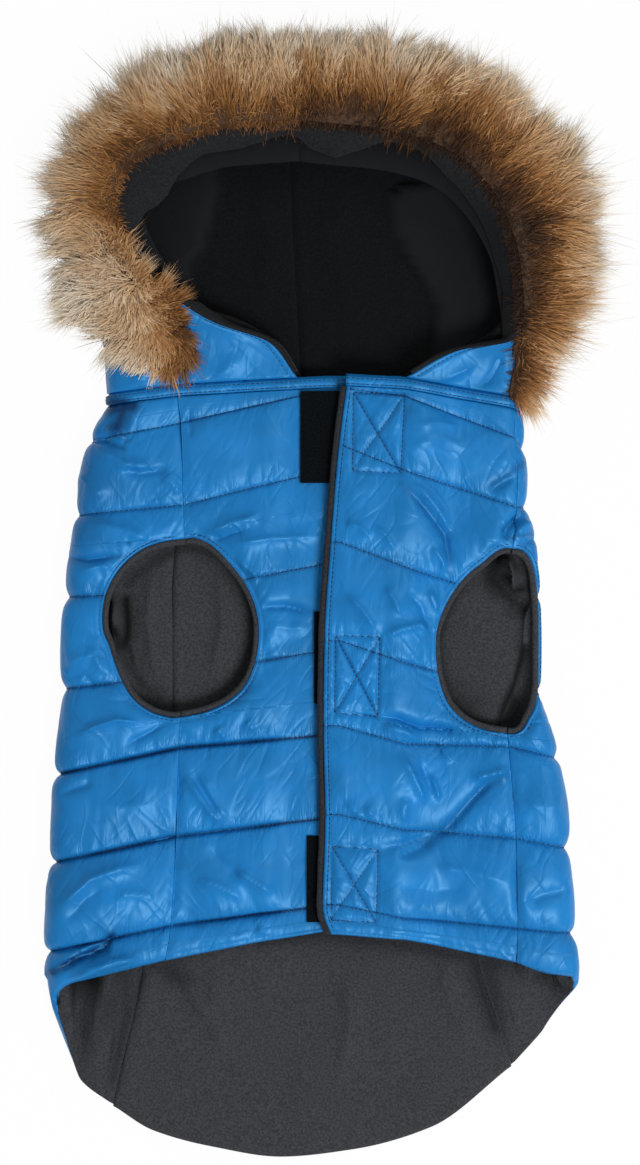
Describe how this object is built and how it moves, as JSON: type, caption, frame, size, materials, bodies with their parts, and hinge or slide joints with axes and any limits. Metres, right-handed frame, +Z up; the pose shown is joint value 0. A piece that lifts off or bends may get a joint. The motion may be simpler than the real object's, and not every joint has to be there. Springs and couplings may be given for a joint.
{
  "type": "dog coat",
  "caption": "Hooded dog coat laid flat with its belly side up: quilted nylon shell, fleece lining, overlapping chest closure, two armholes, rounded tail flap and fur trim round the hood.",
  "frame": {"origin": "centre of the coat's box, on the surface that it lies on", "axes": "+X across the coat, towards the side whose front panel laps on top; +Y along the coat, towards the hood; +Z up, out of the belly side"},
  "size_m": [0.3192, 0.6255, 0.054],
  "materials": {
    "nylon_shell": "glossy",
    "fleece_lining": "matte",
    "hood_fleece": "matte",
    "closure_tape": "matte",
    "faux_fur": "matte"
  },
  "bodies": {
    "root": {"back": "nylon_shell", "side_left": "nylon_shell", "side_right": "nylon_shell", "front_left": "nylon_shell", "front_right": "nylon_shell", "neck_binding": "nylon_shell", "hood_left": "nylon_shell", "hood_right": "nylon_shell", "lining_back": "fleece_lining", "lining_side_left": "fleece_lining", "lining_side_right": "fleece_lining", "lining_front_left": "fleece_lining", "lining_front_right": "fleece_lining", "hood_lining_left": "hood_fleece", "hood_lining_right": "hood_fleece", "hood_facing": "hood_fleece", "loop_tape_neck": "closure_tape", "loop_tape_chest": "closure_tape", "loop_tape_belly": "closure_tape", "hook_tape_neck": "closure_tape", "hook_tape_chest": "closure_tape", "hook_tape_belly": "closure_tape", "fur_trim": "faux_fur"}
  },
  "joints": []
}
